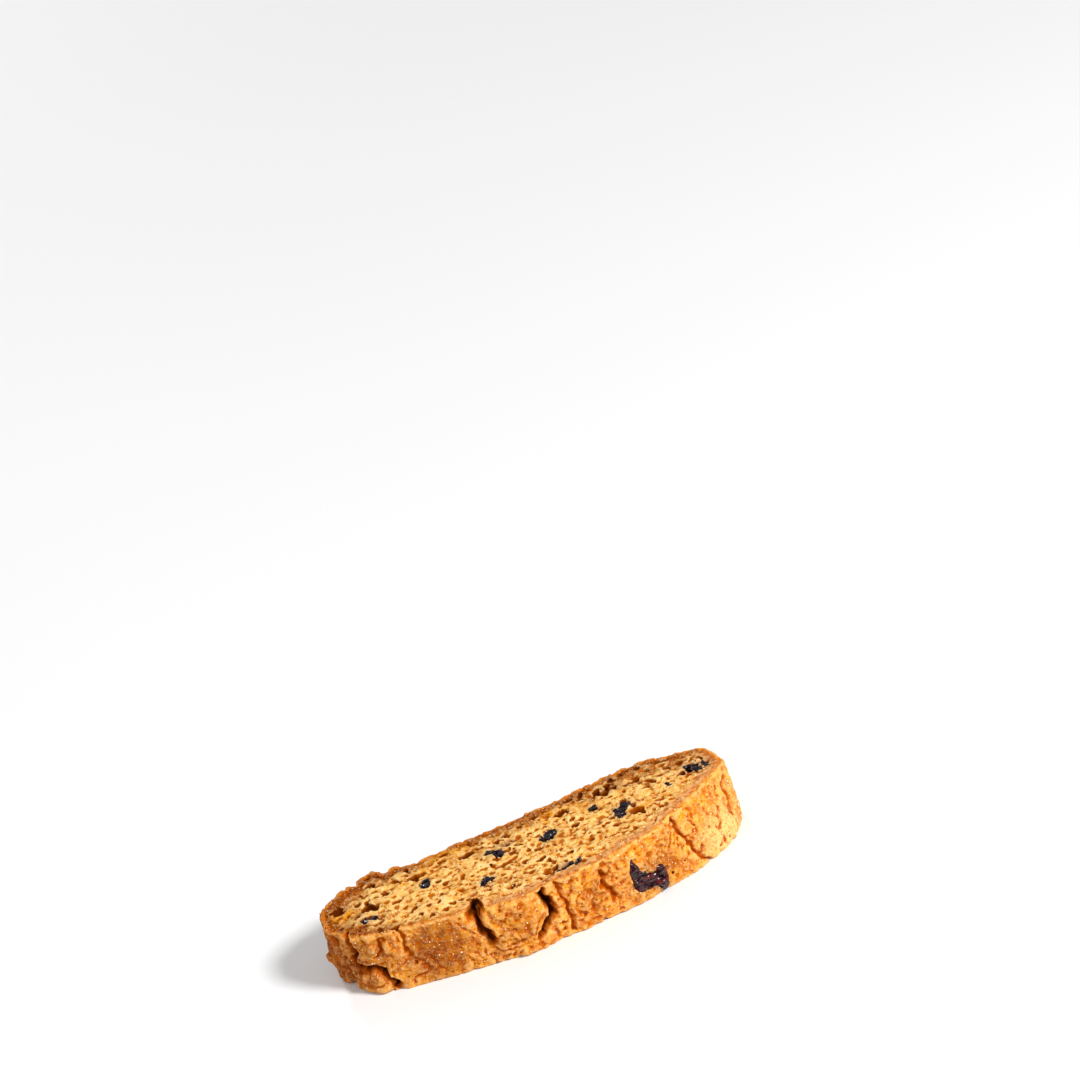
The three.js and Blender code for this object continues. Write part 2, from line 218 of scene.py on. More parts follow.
BLOCK_LOW, BLOCK_HIGH = (-40.2, -16.2, -0.6), (42.0, 13.2, THICKNESS + 0.8)
FAR = 1.5
NO_HOLE = 3.0
LAYER_IN, LAYER_OUT = 3.2, 2.6
BISCUIT_STEP, QUICK_STEP = 0.2, 0.3
BISCUIT_FACES = 99000
FRUIT_STEP, RAISIN_STEP = 0.1, 0.12

# The fruit's wrinkles: how high, large and stretched, their share on the sides, and the edge's rounding.
FRUIT_WRINKLE = dict(height=0.2, size=0.85, scale=(1, 1, 1), sides=0.7, shoulder=0.4)
RAISIN_WRINKLE = dict(height=0.34, size=1.5, scale=(0.6, 1, 1.3), seed=90, sides=0.3, shoulder=0.6)
FRUIT_SEED = 60

# How rugged the crust is along the way round.
RUGGED_AT = (-80, -62, -55, -30, -26, -16, -13, -2, 2, 14, 18, 26, 30, 45, 60, 80)
RUGGED = (0.55, 0.6, 0.8, 1.0, 0.3, 0.3, 0.9, 0.9, 1.0, 1.0, 0.6, 0.5, 0.3, 0.35, 0.4, 0.55)

# Soft coloured places of the crust, with their share: the toasted ones, and the pale ones at the right.
TOASTED = rows("s z half share", [
    (-21.0, 5.6, (5.6, 6.2), 1.0),
    (-7.0, 6.6, (3.4, 3.4), 0.5),
    (7.6, 5.6, (2.6, 3.6), 0.55),
    (21.5, 5.0, (3.6, 4.5), 0.3),
    (-46.0, 5.0, (17.0, 10.0), 1.0),
    (75.0, 5.0, (26.0, 20.0), 0.6),
    (-75.0, 5.0, (26.0, 20.0), 0.75),
])
PALE = rows("s z half share", [(34.0, 2.4, (5.4, 4.6), 1.0), (40.0, 8.0, (5.0, 3.0), 0.35)])

# Moist amber places of the upper cut face, and fruit's purple stains in the crust and in that face.
AMBER = rows("x y half", [
    (20.1, -2.0, (2.4, 1.6)),
    (-18.9, 3.0, (3.6, 1.3)),
    (-33.0, 0.4, (2.0, 1.6)),
    (8.0, 5.4, (3.6, 1.6)),
    (-12.0, 5.6, (4.0, 1.4)),
])
CRUST_STAIN = rows("s z half share", [(17.4, 3.9, (4.4, 4.2), 1.0)])
STAIN = rows("x y half", [(-2.2, 2.4, (2.6, 0.9)), (4.8, -10.1, (2.6, 0.7))])

# The photograph's view of the slice: how far the camera looks down, how the slice is turned and tilted under
# it, its focal length and the slice's middle in a 1080-pixel frame's pixels, and how many a millimetre takes.
PHOTO_SIDE = 1080
PHOTO_FOCAL = 4050
PHOTO_PITCH, SLICE_YAW, SLICE_TILT = (math.radians(angle) for angle in (25.3, 18.8, 13.5))
SLICE_PIXEL = (531, 873)
PIXELS_PER_MM = 5.87
SENSOR_MM = 36
CAMERA_REACH = (0.01, 20)

# The stage: half the floor's side and the lamps' places and sizes in metres, with the lamps' power in watts.
FLOOR_HALF = 3.0
FLOOR_COLOUR = (238, 238, 238)
WORLD_STRENGTH = 0.42
LAMPS = rows("name place size power", [
    ("key", (0.5, -0.5, 0.65), 0.25, 9.8),
    ("glint", (-0.05, 0.9, 0.42), 0.1, 1.4),
    ("fill", (-0.6, -0.35, 0.5), 0.6, 1.5),
])

PER_SQUARE_CM = 1e4
GRAIN_SEED, SUGAR_SEED = 3, 8
ANY_TURN = (6.28, 6.28, 6.28)

# The noises by what they shape or colour: the size of their lumps in millimetres, and their seed.
NOISE_SIDE = 32
NOISE_GAIN = 1.6
NOISES = dict(
    stray_s=(1.7, 3), stray_z=(1.7, 4), fine_s=(0.6, 5), fine_z=(0.6, 6), swell=(5.2, 21), lumps=(2.4, 22),
    knobs=(1.2, 23), ribs=(1.5, 24), level=(3.4, 31), dips=(1.4, 32), pits=(0.72, 33), grains=(0.5, 34),
    small_pits=(0.5, 35), blisters=(0.8, 35), crust_grains=(0.5, 36), patches=(2.4, 37), holes=(0.75, 41),
    colour_x=(1.6, 51), colour_y=(1.6, 52), grainy=(1.8, 61), sugary=(3.0, 62),
)


def colour(red, green, blue):
    """A display colour of 0 to 255 as the linear colour that a shader takes."""
    return tuple(c / 12.92 if c <= 0.04045 else ((c + 0.055) / 1.055) ** 2.4
                 for c in (red / 255, green / 255, blue / 255)) + (1.0,)


def to_metres(points):
    """Points in the outline's coordinates, in millimetres, as points of the frame."""
    placed = np.array(points, dtype=np.float64)
    placed[:, :2] -= CENTRE
    return placed * MM


# Fields of numbers

def lattice_noise(points, size, seed):
    """Smooth noise from about -1 to 1 at each point, with lumps about size across."""
    table = np.random.default_rng(seed).uniform(-1, 1, (NOISE_SIDE,) * 3).astype(np.float32)
    place = np.asarray(points, dtype=np.float32) / size
    corner = np.floor(place).astype(np.int32)
    share = place - corner
    share = share * share * share * (share * (share * 6 - 15) + 10)
    total = np.zeros(len(place), dtype=np.float32)
    for step in np.ndindex(2, 2, 2):
        index = (corner + step) & (NOISE_SIDE - 1)
        weight = np.prod(np.where(step, share, 1 - share), axis=1)
        total += weight * table[index[:, 0], index[:, 1], index[:, 2]]
    return total * NOISE_GAIN


def noise(points, name):
    """The noise of this name at each point."""
    return lattice_noise(points, *NOISES[name])


def ramp(value, start, end):
    """A value that goes smoothly from 0 at start to 1 at end."""
    share = np.clip((value - start) / (end - start), 0, 1)
    return share * share * (3 - 2 * share)


def bell(distance, spread):
    return np.exp(-((distance / spread) ** 2))


def smooth_max(a, b, blend):
    """The larger of two distances, with the edge between them rounded."""
    near = np.maximum(blend - np.abs(a - b), 0) / blend
    return np.maximum(a, b) + near * near * blend / 4


class Outline:
    """The upper cut face's outline: its points, outward normals and way round, all evenly spaced."""

    def __init__(self):
        controls = np.array(OUTLINE)
        count = len(controls)
        t = np.linspace(0, count, OUTLINE_SAMPLES, endpoint=False)
        i = t.astype(int)
        u = (t - i)[:, None]
        a, b, c, d = (controls[(i + k) % count] for k in (-1, 0, 1, 2))
        curve = 0.5 * (2 * b + (c - a) * u + (2 * a - 5 * b + 4 * c - d) * u**2
                       + (3 * b - a - 3 * c + d) * u**3)
        closed = np.vstack([curve, curve[:1]])
        way = np.concatenate([[0], np.cumsum(np.linalg.norm(np.diff(closed, axis=0), axis=1))])
        self.length = way[-1]
        even = np.arange(0, self.length, OUTLINE_STEP)
        self.at = np.stack([np.interp(even, way, closed[:, k]) for k in (0, 1)], axis=1)
        along = np.roll(self.at, -2, axis=0) - np.roll(self.at, 2, axis=0)
        along /= np.linalg.norm(along, axis=1)[:, None]
        self.along = along
        self.normal = np.stack([along[:, 1], -along[:, 0]], axis=1)
        domed = np.where(self.at[:, 1] < 0, np.abs(self.at[:, 0]), np.inf)
        middle = even[np.argmin(domed)]
        self.s = (even - middle + self.length / 2) % self.length - self.length / 2

    def measure(self, x, y):
        """The signed distance of each point from the outline, + outside, and its way round."""
        distance = np.empty(len(x), dtype=np.float32)
        s = np.empty(len(x), dtype=np.float32)
        for start in range(0, len(x), POINTS_AT_ONCE):
            part = slice(start, start + POINTS_AT_ONCE)
            gap = np.stack([x[part], y[part]], axis=1)[:, None, :] - self.at[None, ::OUTLINE_SKIP, :]
            k = np.argmin((gap * gap).sum(axis=2), axis=1)
            near = gap[np.arange(len(k)), k]
            k = k * OUTLINE_SKIP
            distance[part] = (near * self.normal[k]).sum(axis=1)
            s[part] = self.s[k] + (near * self.along[k]).sum(axis=1)
        return distance, s

    def turn(self, s):
        """The outline's direction in degrees at one way round."""
        k = np.argmin(np.abs(self.s - s))
        return math.degrees(math.atan2(self.along[k, 1], self.along[k, 0]))

    def point(self, s):
        """The outline's point and outward normal at each way round."""
        order = np.argsort(self.s)
        at = np.stack([np.interp(s, self.s[order], self.at[order, k]) for k in (0, 1)], axis=-1)
        normal = np.stack([np.interp(s, self.s[order], self.normal[order, k]) for k in (0, 1)], axis=-1)
        return at, normal


def path_distance(s, z, path):
    """The distance of chart points from a path of chart points."""
    least = np.full(s.shape, np.inf)
    for (a_s, a_z), (b_s, b_z) in zip(path, path[1:]):
        ds, dz = b_s - a_s, b_z - a_z
        share = np.clip(((s - a_s) * ds + (z - a_z) * dz) / (ds * ds + dz * dz), 0, 1)
        least = np.minimum(least, np.hypot(s - a_s - share * ds, z - a_z - share * dz))
    return least


def strewn_creases():
    """Short creases at drawn places of the domed crust, most of them upright."""
    random = np.random.default_rng(CREASES["seed"])
    creases = []
    for _ in range(CREASES["count"]):
        s, z = random.uniform(*CREASES["s"]), random.uniform(0, THICKNESS)
        length, lean = random.uniform(*CREASES["length"]), random.normal(0, CREASES["lean"])
        bend = random.normal(0, CREASES["bend"])
        path = [(s, z), (s + length * (lean / 2 + bend), z - length / 2), (s + length * lean, z - length)]
        creases.append(dict(path=path, width=random.uniform(*CREASES["width"]),
                            depth=random.uniform(*CREASES["depth"])))
    return creases


def spots(a, b, places):
    """How strongly soft oval places cover each point of a plane."""
    total = np.zeros(np.shape(a))
    for place in places:
        middle = (place["s"], place["z"]) if "s" in place else (place["x"], place["y"])
        reach = ((a - middle[0]) / place["half"][0]) ** 2 + ((b - middle[1]) / place["half"][1]) ** 2
        total = np.maximum(total, place.get("share", 1.0) * np.exp(-(reach**1.5)))
    return total


class Chart:
    """The crust's named forms and coloured places as tables over s and z."""

    def __init__(self, length):
        self.s0 = -length / 2 - CHART_MARGIN
        self.z0 = -CHART_MARGIN
        s = np.arange(self.s0, length / 2 + CHART_MARGIN, CHART_STEP)
        z = np.arange(self.z0, THICKNESS + CHART_MARGIN, CHART_STEP)
        s, z = np.meshgrid(s, z, indexing="ij")
        flat = np.stack([s.ravel(), z.ravel(), np.zeros(s.size)], axis=1)
        stray = [0.45 * noise(flat, name).reshape(s.shape) for name in ("stray_s", "stray_z")]
        fine = [0.16 * noise(flat, name).reshape(s.shape) for name in ("fine_s", "fine_z")]
        ws, wz = s + stray[0] + fine[0], z + stray[1] + fine[1]
        height = np.clip(z / THICKNESS, 0, 1)
        out, crack = np.zeros(s.shape), np.zeros(s.shape)
        for flare in FLARES:
            out += flare["out"] * bell(s - flare["s"], flare["spread"]) * (1 - height**FLARE_CURVE)
        for crag in CRAGS:
            reach = (np.abs((ws - crag["s"]) / crag["half"][0]) ** 4
                     + np.abs((wz - crag["z"]) / crag["half"][1]) ** 4)
            out += crag["out"] * np.exp(-reach)
        for form in CRACKS + strewn_creases():
            cut = form["depth"] * bell(path_distance(ws, wz, form["path"]), form["width"])
            crack = np.maximum(crack, cut)
        self.tables = dict(out=out - crack, crack=crack, toast=spots(ws, wz, TOASTED),
                           pale=spots(ws, wz, PALE), stain=spots(ws, wz, CRUST_STAIN))

    def read(self, name, s, z):
        """A table's value at each chart point."""
        table = self.tables[name]
        a = np.clip((s - self.s0) / CHART_STEP, 0, table.shape[0] - 1.001)
        b = np.clip((z - self.z0) / CHART_STEP, 0, table.shape[1] - 1.001)
        i, j = a.astype(int), b.astype(int)
        u, v = a - i, b - j
        return ((table[i, j] * (1 - v) + table[i, j + 1] * v) * (1 - u)
                + (table[i + 1, j] * (1 - v) + table[i + 1, j + 1] * v) * u)


def ellipsoid(x, y, z, half, turn):
    """About how far points are outside an ellipsoid round the origin, turned by degrees."""
    turn = math.radians(turn)
    along = (x * math.cos(turn) + y * math.sin(turn)) / half[0]
    across = (y * math.cos(turn) - x * math.sin(turn)) / half[1]
    return (np.sqrt(along**2 + across**2 + (z / half[2]) ** 2) - 1) * min(half)


class Block:
    """A block of evenly spaced points round the slice, on which its distance field is worked out."""

    def __init__(self, low, high, step):
        self.low, self.step = np.array(low), step
        self.axes = [np.arange(a, b, step, dtype=np.float32) for a, b in zip(low, high)]
        self.shape = tuple(len(axis) for axis in self.axes)

    def points(self, index):
        return np.stack([axis[i] for axis, i in zip(self.axes, index)], axis=1)

    def carve(self, holes, pore):
        """Lowers the field of holes where an ellipsoid is."""
        at, half = np.array(pore["at"]), pore["half"]
        reach = np.array([max(half[0], half[1])] * 2 + [half[2]]) + 1.0
        first = np.maximum(((at - reach - self.low) / self.step).astype(int), 0)
        last = np.minimum(((at + reach - self.low) / self.step).astype(int) + 1, self.shape)
        if (first >= last).any():
            return
        sides = (axis[a:b] - c for axis, a, b, c in zip(self.axes, first, last, at))
        x, y, z = np.meshgrid(*sides, indexing="ij")
        part = tuple(slice(a, b) for a, b in zip(first, last))
        holes[part] = np.minimum(holes[part], ellipsoid(x, y, z, half, pore["turn"]))

    def skin(self, field):
        """The closed surface where the field is 0, as points and four-sided faces."""
        grid = openvdb.FloatGrid(FAR)
        grid.copyFromArray(field.reshape(self.shape).astype(np.float32))
        corners, quads = grid.convertToQuads(0.0)
        return self.low + corners * self.step, quads


# The biscuit

face_outline = Outline()
crust_chart = Chart(face_outline.length)


def crumb_pores(random):
    """The holes of the crumb in both cut faces, and the pinholes of the crust."""
    pores = []
    least, most = PORES["radius"]
    for face, count in ((THICKNESS, PORES["upper"]), (0.0, PORES["lower"])):
        x = random.uniform(*PORES["x"], count)
        y = random.uniform(*PORES["y"], count)
        inside, way = face_outline.measure(x, y)
        band = rim_band(-inside, way)
        for i in np.flatnonzero(inside < -PORES["from_rim"]):
            radius = least + (most - least) * random.random() ** PORES["rarity"]
            stretch, turn = random.uniform(*PORES["stretch"]), random.normal(*PORES["turn"])
            keep = random.random()
            sink = random.uniform(*PORES["sunk"]) * radius
            if band[i] > BAND_PORES["from_band"]:
                if keep < BAND_PORES["left_out"]:
                    continue
                radius = min(radius, BAND_PORES["most"])
                stretch *= BAND_PORES["stretch"]
                turn = face_outline.turn(way[i])
            radius = min(radius, -0.5 * inside[i])
            z = face - sink if face else face + sink
            half = (radius * stretch, radius, radius * random.uniform(*PORES["deep"]))
            pores.append(dict(at=(x[i], y[i], z), half=half, turn=turn))
    for _ in range(PINHOLES["count"]):
        s = random.uniform(-face_outline.length / 2, face_outline.length / 2)
        at, normal = face_outline.point(s)
        radius = random.uniform(*PINHOLES["radius"])
        out = crust_chart.read("out", np.array([s]), np.array([PINHOLES["z"]]))[0]
        place = at + normal * (out + random.uniform(*PINHOLES["proud"]))
        z = random.uniform(PINHOLES["from_rim"], THICKNESS - PINHOLES["from_rim"])
        half = (radius, radius, radius * random.uniform(*PINHOLES["deep"]))
        pores.append(dict(at=(*place, z), half=half, turn=0))
    for pore in LARGE_PORES:
        pores.append(dict(pore, at=(*pore["at"], LARGE_PORES_AT)))
    return pores


def face_lobes(ovals):
    """Ovals in the upper cut face as lobes that go down into the crumb."""
    return [dict(oval, at=(*oval["at"], FRUIT_AT), half=(*oval["half"], FRUIT_DEEP)) for oval in ovals]


def raisin_lobes():
    """The raisin's lobes in the outline's coordinates."""
    low, high = (np.array(corner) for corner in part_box("raisin"))
    middle = (low + high) / 2 / MM
    middle[:2] += CENTRE
    c, s = math.cos(math.radians(RAISIN_TURN)), math.sin(math.radians(RAISIN_TURN))
    lobes = []
    for lobe in RAISIN_LOBES:
        along, out, up = lobe["at"]
        at = middle + (along * c + out * s, along * s - out * c, up)
        lobes.append(dict(at=tuple(at), half=lobe["half"], turn=RAISIN_TURN))
    return lobes


def rim_band(rim, way):
    """1 in the smooth band of crumb along the domed side's rim, where the dough is pressed close."""
    domed = ramp(way, *PRESSED_BAND["begins"]) * (1 - ramp(way, *PRESSED_BAND["ends"]))
    return (1 - ramp(rim, *PRESSED_BAND["fades"])) * domed


def surface_fields(points, distance, s):
    """How far points are outside the crust, the upper and the lower cut face, without the fine relief."""
    z = points[:, 2]
    rugged = np.interp(s, RUGGED_AT, RUGGED)
    lumps = (0.2 * noise(points, "swell")
             + rugged * (0.28 * (np.abs(noise(points, "lumps")) - 0.35)
                         + 0.15 * noise(points, "knobs")
                         + 0.2 * noise(points * (1, 1, 0.3), "ribs")))
    crust = distance - crust_chart.read("out", s, z) - lumps
    flat = points * (1, 1, 0)
    level = 0.14 * noise(flat, "level") + 0.09 * noise(flat, "dips")
    upper = z - THICKNESS + 0.13 - level
    lower = -z + 0.07 - 0.5 * level
    return crust, upper, lower


def cut_relief(points, rim, way):
    """How far fine pits and grains lower a cut face."""
    band = rim_band(rim, way)
    pits = ramp(noise(points * (0.6, 1, 1), "pits"), 0.1, 0.8)
    small = ramp(noise(points * (0.7, 1, 1), "small_pits"), 0.3, 0.9)
    patchy = 0.45 + 0.55 * ramp(noise(points, "patches"), -0.5, 0.5)
    return patchy * ((0.22 - 0.14 * band) * pits + 0.22 * small) - 0.08 * noise(points, "grains")


def crust_relief(points, way):
    """How far fine blisters and pits lower the crust."""
    rugged = np.interp(way, RUGGED_AT, RUGGED)
    blisters = ramp(noise(points, "blisters"), 0.25, 0.85)
    return 0.2 * rugged * blisters - (0.05 + 0.06 * rugged) * noise(points, "crust_grains")


def biscuit_mesh(step):
    """The biscuit as one closed mesh: its slab with crags and cracks, less the holes of its crumb."""
    block = Block(BLOCK_LOW, BLOCK_HIGH, step)
    x, y = np.meshgrid(block.axes[0], block.axes[1], indexing="ij")
    distance, s = face_outline.measure(x.ravel(), y.ravel())
    distance, s = distance.reshape(x.shape), s.reshape(x.shape)

    z = block.axes[2][None, None, :]
    faces = np.maximum(z - THICKNESS, -z)
    slab = np.maximum(distance[:, :, None] - 1.0, faces)
    field = np.where(slab < 0, -FAR, FAR).astype(np.float32)
    band = np.nonzero((np.maximum(distance[:, :, None], faces) > -LAYER_IN) & (slab < LAYER_OUT))

    holes = np.full(block.shape, NO_HOLE, dtype=np.float32)
    sockets = np.full(block.shape, NO_HOLE, dtype=np.float32)
    ovals = [oval for fruit in (*FACE_FRUIT.values(), SCRAPS) for oval in fruit]
    for lobe in raisin_lobes() + face_lobes(ovals):
        half = tuple(size - SOCKET_TIGHT for size in lobe["half"])
        block.carve(sockets, dict(at=lobe["at"], half=half, turn=lobe["turn"]))
    for pore in crumb_pores(np.random.default_rng(PORES["seed"])):
        block.carve(holes, pore)

    points = block.points(band)
    near, way = distance[band[0], band[1]], s[band[0], band[1]]
    crust, upper, lower = surface_fields(points, near, way)
    relief = cut_relief(points, -near, way)
    shell = smooth_max(np.maximum(upper, lower) + relief, crust + crust_relief(points, way), 0.4)
    hole = holes[band]
    close = hole < 1.0
    hole[close] += 0.14 * noise(points[close], "holes") + 0.06
    field[band] = smooth_max(smooth_max(shell, -hole, 0.14), -sockets[band], 0.25)
    return block.skin(field)


def plain_mesh(name, points, faces):
    mesh = bpy.data.meshes.new(name)
    mesh.from_pydata(to_metres(points).tolist(), [], faces.tolist())
    mesh.validate()
    mesh.shade_smooth()
    return mesh


def add_piece(name, mesh):
    piece = bpy.data.objects.new(name, mesh)
    bpy.context.scene.collection.objects.link(piece)
    return piece


def applied(piece):
    """Leaves a piece as the plain mesh that its modifiers make, and gives that mesh."""
    depsgraph = bpy.context.evaluated_depsgraph_get()
    made = bpy.data.meshes.new_from_object(piece.evaluated_get(depsgraph))
    piece.modifiers.clear()
    piece.data = made
    return made


def fruit_stains():
    """Faint stains round the dried fruit in the upper cut face."""
    stains = []
    for oval in (oval for ovals in FACE_FRUIT.values() for oval in ovals):
        (x, y), (along, across) = oval["at"], oval["half"]
        stains.append(dict(x=x, y=y, half=(along + 0.9, across + 0.7), share=0.45))
    return stains


def shade_biscuit_points(mesh):
    """Stores at each point what the finish depends on: crust, rim, depth and edge."""
    count = len(mesh.vertices)
    at = np.empty(count * 3, dtype=np.float32)
    mesh.vertices.foreach_get("co", at)
    points = at.reshape(-1, 3).astype(np.float64) / MM
    points[:, :2] += CENTRE
    near, way = face_outline.measure(points[:, 0], points[:, 1])
    crust, upper, lower = surface_fields(points, near, way)
    top = ramp(points[:, 2], THICKNESS - 3, THICKNESS - 1)
    x = points[:, 0] + 0.5 * noise(points, "colour_x")
    y = points[:, 1] + 0.4 * noise(points, "colour_y")
    values = {name: crust_chart.read(name, way, points[:, 2]) for name in ("crack", "toast", "pale", "stain")}
    values["stain"] += top * spots(x, y, STAIN + fruit_stains())
    values.update(
        crust=ramp(crust, -0.8, -0.3),
        rim=np.clip(-crust, 0, 8),
        depth=np.clip(-np.maximum(crust, np.maximum(upper, lower)), 0, 3),
        band=rim_band(-crust, way),
        amber=top * spots(x, y, AMBER),
        edge=edge_bulge(mesh, at.reshape(-1, 3)),
    )
    open_crumb = (1 - values["crust"]) * (1 - ramp(values["depth"], 0.25, 0.5)) * (1 - 0.7 * values["band"])
    values["grainy"] = open_crumb * ramp(noise(points, "grainy"), -0.5, 0.6)
    rim_sugar = (1 - values["crust"]) * (1 - ramp(values["rim"], 0.8, 1.8)) * 0.5
    clear = (1 - 0.6 * values["toast"]) * (1 - ramp(values["crack"], 0.2, 0.6))
    values["sugary"] = (values["crust"] + rim_sugar) * clear * ramp(noise(points, "sugary"), -0.3, 0.9)
    for name, value in values.items():
        mesh.attributes.new(name, "FLOAT", "POINT").data.foreach_set("value", value.astype(np.float32))


def edge_bulge(mesh, at):
    """How far each point stands proud of its neighbours, smoothed, in tenths of a millimetre."""
    ends = np.empty(len(mesh.edges) * 2, dtype=np.int32)
    mesh.edges.foreach_get("vertices", ends)
    ends = ends.reshape(-1, 2)
    normal = np.empty(len(mesh.vertices) * 3, dtype=np.float32)
    mesh.vertex_normals.foreach_get("vector", normal)
    normal = normal.reshape(-1, 3)
    degree = np.bincount(ends.ravel(), minlength=len(at))[:, None]

    def mean_of_neighbours(value):
        total = np.zeros_like(value)
        for k in range(value.shape[1]):
            total[:, k] = (np.bincount(ends[:, 0], value[ends[:, 1], k], minlength=len(at))
                           + np.bincount(ends[:, 1], value[ends[:, 0], k], minlength=len(at)))
        return total / degree

    smooth = at
    for _ in range(4):
        smooth = mean_of_neighbours(smooth)
    proud = ((at - smooth) * normal).sum(axis=1, keepdims=True) / MM * 10
    return mean_of_neighbours(proud)[:, 0]


# Materials

class Wire:
    """A socket of a material, which adds Math nodes when it is used in a Python expression."""

    def __init__(self, paint, socket):
        self.paint, self.socket = paint, socket

    def _maths(self, operation, *values):
        return self.paint.node("ShaderNodeMath", dict(operation=operation), dict(enumerate(values)))

    def __add__(self, other):
        return self._maths("ADD", self, other)

    def __radd__(self, other):
        return self._maths("ADD", other, self)

    def __sub__(self, other):
        return self._maths("SUBTRACT", self, other)

    def __rsub__(self, other):
        return self._maths("SUBTRACT", other, self)

    def __mul__(self, other):
        return self._maths("MULTIPLY", self, other)

    def __rmul__(self, other):
        return self._maths("MULTIPLY", other, self)

    def held(self):
        """The value kept between 0 and 1."""
        return self.paint.node("ShaderNodeClamp", {}, {0: self})

    def ramp(self, start, end):
        """0 at start and 1 at end, smoothly."""
        return self.paint.node("ShaderNodeMapRange", dict(interpolation_type="SMOOTHSTEP"),
                               {"Value": self, "From Min": start, "From Max": end})


class Paint:
    """One material's node tree."""

    def __init__(self, name):
        self.material = bpy.data.materials.new(name)
        self.material.use_nodes = True
        self.tree = self.material.node_tree
        self.tree.nodes.clear()

    def node(self, kind, settings, sockets, out=0):
        """Adds a node, with its settings and its sockets' values or links, and gives one of its outputs."""
        node = self.tree.nodes.new(kind)
        for key, value in settings.items():
            setattr(node, key, value)
        for key, value in sockets.items():
            if isinstance(value, Wire):
                self.tree.links.new(value.socket, node.inputs[key])
            else:
                node.inputs[key].default_value = value
        return Wire(self, node.outputs[out])

    def attribute(self, name):
        return self.node("ShaderNodeAttribute", dict(attribute_name=name), {}, "Fac")

    def place(self):
        """Object coordinates in millimetres."""
        at = self.node("ShaderNodeTexCoord", {}, {}, "Object")
        return self.node("ShaderNodeVectorMath", dict(operation="SCALE"), {0: at, "Scale": 1 / MM})

    def stretched(self, place, scale):
        return self.node("ShaderNodeVectorMath", dict(operation="MULTIPLY"), {0: place, 1: scale})

    def warped(self, place, size, amount):
        """Coordinates pushed about by noise, so that what is drawn on them is uneven."""
        noise = self.node("ShaderNodeTexNoise", dict(noise_dimensions="3D", normalize=True),
                          {"Vector": place, "Scale": 1 / size, "Detail": 1.0}, "Color")
        push = self.node("ShaderNodeVectorMath", dict(operation="SUBTRACT"), {0: noise, 1: (0.5, 0.5, 0.5)})
        return self.node("ShaderNodeVectorMath", dict(operation="MULTIPLY_ADD"),
                         {0: push, 1: (amount * 2,) * 3, 2: place})

    def noise(self, place, size, detail=2.0, roughness=0.5):
        """Noise from 0 to 1 with lumps about size millimetres across."""
        sockets = {"Vector": place, "Scale": 1 / size, "Detail": detail, "Roughness": roughness}
        return self.node("ShaderNodeTexNoise", dict(noise_dimensions="3D", normalize=True), sockets, "Fac")

    def cells(self, place, size):
        """The distance from the nearest of points strewn about size millimetres apart, as a share of size."""
        return self.node("ShaderNodeTexVoronoi", dict(voronoi_dimensions="3D", feature="F1"),
                         {"Vector": place, "Scale": 1 / size}, "Distance")

    def mix(self, factor, first, second):
        return self.node("ShaderNodeMix", dict(data_type="RGBA", blend_type="MIX"),
                         {"Factor": factor, 6: first, 7: second}, 2)

    def covered(self, tint, *covers):
        """A colour under covers, each of them a share and the colour that it lays over the others so far."""
        for share, cover in covers:
            tint = self.mix(share, tint, cover)
        return tint

    def split(self, place):
        """The x and y of coordinates."""
        return [self.node("ShaderNodeSeparateXYZ", {}, {0: place}, axis) for axis in range(2)]

    def bump(self, height, distance, strength):
        return self.node("ShaderNodeBump", {}, {"Height": height, "Distance": distance, "Strength": strength})

    def finish(self, sockets):
        """Ends the tree in a Principled BSDF with these sockets, and gives the material."""
        shader = self.node("ShaderNodeBsdfPrincipled", {}, sockets)
        output = self.tree.nodes.new("ShaderNodeOutputMaterial")
        self.tree.links.new(shader.socket, output.inputs["Surface"])
        return self.material


def toasted_places(x, y):
    """How toasted the cut faces are: more towards the loaf's flat base and at the left end."""
    return y.ramp(3.0, 10.5) * 0.6 + (x * -1).ramp(24.0, 36.0) * 0.75


